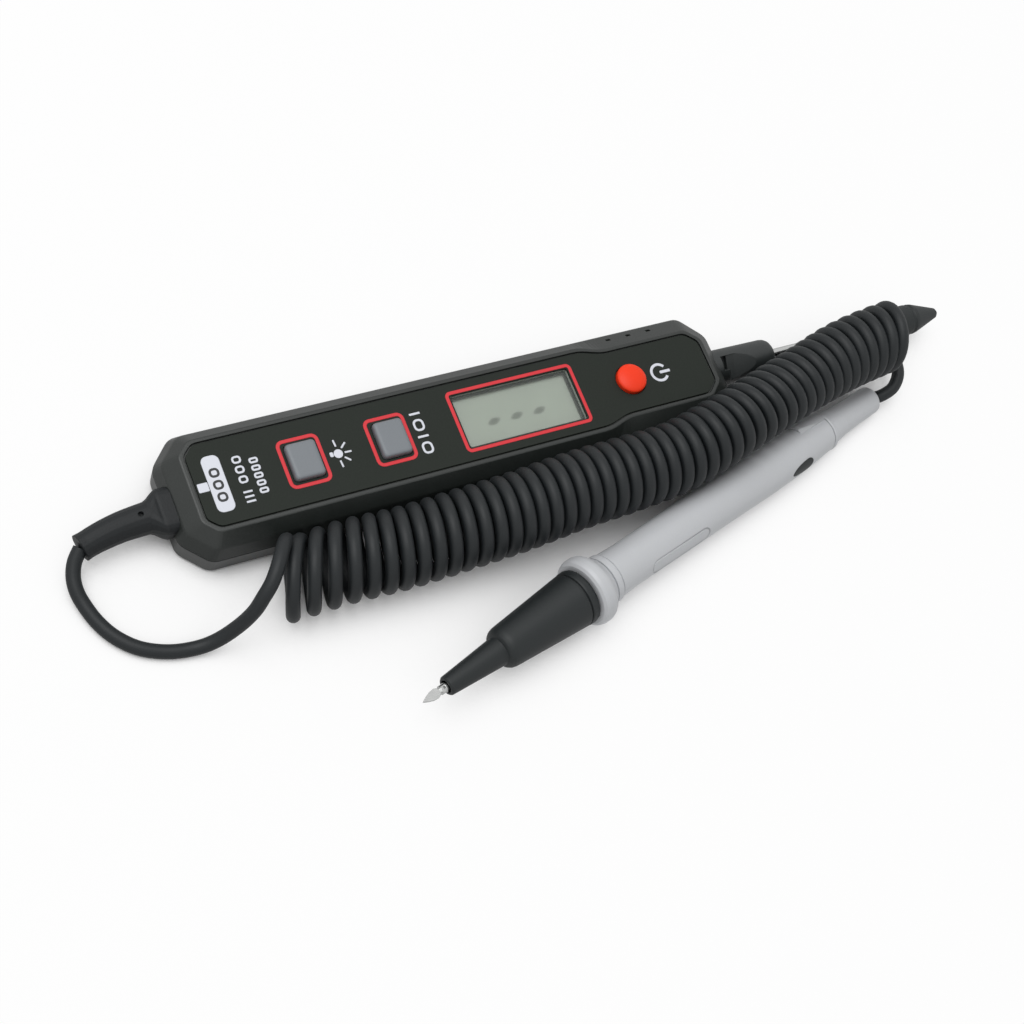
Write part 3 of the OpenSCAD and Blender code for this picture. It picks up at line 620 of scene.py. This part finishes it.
def make_finishes():
    """Every finish by the name of its slot, or of the one node that has its own."""
    black = linear(36, 40, 40)
    return {
        # The housing's edges are painted lightest: partly wear, partly a painted highlight
        "housing": moulded("housing_plastic", linear(32, 36, 34), 0.42, speckle=0.5, bump=0.3, rubbed=1.2),
        "face": moulded("face_plastic", linear(32, 37, 32), 0.6, speckle=0.45, bump=0.2, specular=0.2),
        "window": clear_window(),
        "lcd": display_glass(),
        "white_plastic": moulded("white_plastic", linear(222, 223, 220), 0.5),
        "strip_rubber": moulded("strip_rubber", linear(196, 120, 150), 0.6),
        "board": board_finish(),
        "switch_metal": metal("switch_metal", linear(176, 180, 184), 0.3, (1, 0.05, 1)),
        "orange_plastic": moulded(
            "orange_plastic", linear(255, 62, 26), 0.46, speckle=0.08, cloud=0.06, bump=0.06, rubbed=0.2,
            specular=0.3,
        ),
        "grey_plastic": moulded(
            "grey_plastic", linear(124, 129, 134), 0.46, speckle=0.12, cloud=0.06, bump=0.12, edge=0.4,
        ),
        "black_plastic": moulded("black_plastic", black, 0.46, speckle=0.35, bump=0.22),
        "black_rubber": moulded(
            "black_rubber", linear(31, 35, 36), 0.52, speckle=0.4, bump=0.3, edge=0.5, specular=0.35,
        ),
        "lead_boot": moulded(
            "boot_rubber", linear(23, 26, 28), 0.55, speckle=0.6, bump=0.4, edge=0.5, specular=0.3,
        ),
        "cord_rubber": moulded(
            "cord_rubber", linear(25, 29, 31), 0.52, grain=3200.0, speckle=0.5, bump=0.35, rubbed=0.0,
            specular=0.35,
        ),
        "probe_plastic": moulded(
            "probe_plastic", linear(202, 204, 207), 0.42, speckle=0.06, cloud=0.06, bump=0.06, rubbed=0.1,
        ),
        "contact_brass": metal("contact_brass", linear(214, 178, 96), 0.28, (0.05, 1, 1)),
        "steel": metal("plated_steel", linear(196, 198, 200), 0.24, (1, 1, 0.05)),
        "rod_steel": metal("rod_steel", linear(186, 187, 186), 0.16, (0.04, 1, 1)),
    }


def finish_frame(finishes):
    """Every carried-over node takes its own finish or the one of its slot."""
    slots = {part["node"]: part["material_slot"] for part in frame["record"]["subparts"]}
    for name, node in frame["nodes"].items():
        node.data.materials.clear()
        node.data.materials.append(finishes.get(name) or finishes[slots[name]])


def make_print():
    """The red outlines and the pale and dark marks on the face."""
    ink = {"cloud": 0.05, "bump": 0.04, "rubbed": 0.0}
    red = moulded("red_print", linear(222, 48, 58), 0.5, speckle=0.08, **ink)
    pale = moulded("pale_print", linear(228, 231, 240), 0.5, speckle=0.05, **ink)
    dark = moulded("dark_print", linear(34, 36, 38), 0.55, speckle=0.1, **ink)
    joined("red_outlines", [
        frame_line(-3.1, 33.2, -8.3, 8.3, 1.5),
        frame_line(-50.5, -40.2, -6.2, 6.2, 1.9),
        frame_line(-27.1, -16.8, -6.2, 6.2, 1.9),
    ], red)
    bulb = [
        disc((-36.3, -0.3), 1.2), field((-38.05, -0.15), (0.95, 1.3), 0.3),
        bar((-36.4, 3.3), (-36.3, 1.9), RAY), bar((-33.8, 2.1), (-34.9, 1.1), RAY),
        bar((-33.0, -0.4), (-34.4, -0.35), RAY), bar((-33.9, -2.6), (-34.9, -1.7), RAY),
        bar((-36.3, -3.8), (-36.4, -2.4), RAY),
    ]
    power = [
        disc((58.1, 0), 2.76, line=0.8, open_half_angle=radians(38)), bar((58.6, 0), (61.0, 0), 0.85),
    ]
    plate = [field((-67.7, -0.25), (4.6, 15), 1.6), field((-71.45, -0.4), (2.7, 2.4), 0.3)]
    rows = (
        mark_row(-58.6, -56.2, 4.2, -5.5, "ooooo", 0.55)
        + mark_row(-62.6, -60.2, 5.6, -7.0, "ooo iii", 0.55)
        + mark_row(-14.8, -11.8, 5.7, -6.2, "ioio", 0.62)
    )
    joined("pale_marks", bulb + power + plate + rows, pale)
    joined(
        "dark_marks", mark_row(-69.0, -66.4, 3.9, -5.1, "ooo", 0.6, z=FACE_Z + PRINT_T),
        dark,
    )


# The studio

def make_floor():
    """A wide floor that is seen as plain white where it lies open, and that keeps the object's shadow."""
    bpy.ops.object.select_all(action="DESELECT")
    bpy.ops.mesh.primitive_plane_add(size=FLOOR_SIDE, location=(0, 0, 0))
    floor = bpy.context.object
    floor.name = "floor"
    finish, tree, surface = new_finish("white_sweep")
    grained = use(
        tree, GRAIN, Colour=(0.97, 0.97, 0.97, 1), Grain=60.0, Speckle=0.01, Cloud=0.01, Rough=0.8,
    )
    coat(tree, surface, grained)
    surface.inputs["Specular IOR Level"].default_value = 0.1
    white = make(tree, "ShaderNodeEmission", Color=(1, 1, 1, 1))
    mirrored = tree.nodes.new("ShaderNodeLightPath").outputs["Is Glossy Ray"]
    level = math(tree, "SUBTRACT", 1.0, math(tree, "MULTIPLY", mirrored, 1.0 - FLOOR_MIRRORED))
    link(tree, white, Strength=level)
    openness = make(tree, "ShaderNodeAmbientOcclusion", {"samples": SHADE_SAMPLES}, Distance=SHADE_REACH)
    open_share = faded(tree, openness.outputs["AO"], SHADE_FADE, 0.0, FLOOR_WHITE)
    share = math(tree, "MULTIPLY", seen_or_mirrored(tree), open_share)
    mixed = make(tree, "ShaderNodeMixShader", _0=share, _1=surface.outputs[0], _2=white.outputs[0])
    link(tree, tree.nodes["Material Output"], Surface=mixed.outputs[0])
    floor.data.materials.append(finish)


def seen_or_mirrored(tree):
    """1 for what the camera sees, directly, in a mirror or through glass, and 0 for light that spreads."""
    path = tree.nodes.new("ShaderNodeLightPath")
    shown = math(tree, "MAXIMUM", path.outputs["Is Camera Ray"], path.outputs["Is Glossy Ray"])
    return math(tree, "MAXIMUM", shown, path.outputs["Is Transmission Ray"])


def make_world():
    """Even light from all round, and plain white wherever it is seen or mirrored."""
    world = bpy.data.worlds.new("studio")
    bpy.context.scene.world = world
    world.use_nodes = True
    tree = world.node_tree
    level = make(tree, "ShaderNodeMapRange", Value=seen_or_mirrored(tree), To_Min=WORLD_LIGHT, To_Max=1.0)
    background = tree.nodes["Background"]
    background.inputs["Color"].default_value = (1, 1, 1, 1)
    link(tree, background, Strength=level.outputs[0])


def make_lamp():
    """A square lamp that faces the middle of the object."""
    data = bpy.data.lights.new("key_lamp", "AREA")
    data.size = LAMP_SIDE
    data.energy = LAMP_POWER
    lamp = bpy.data.objects.new("key_lamp", data)
    bpy.context.scene.collection.objects.link(lamp)
    lamp.location = LAMP_PLACE
    lamp.rotation_euler = (LAMP_AIM - LAMP_PLACE).to_track_quat("-Z", "Y").to_euler()


make_camera()
curly_lead = make_cord()
finishes = make_finishes()
curly_lead.data.materials.append(finishes["cord_rubber"])
finish_frame(finishes)
make_print()
make_floor()
make_world()
make_lamp()
bpy.context.scene.view_settings.view_transform = "Standard"
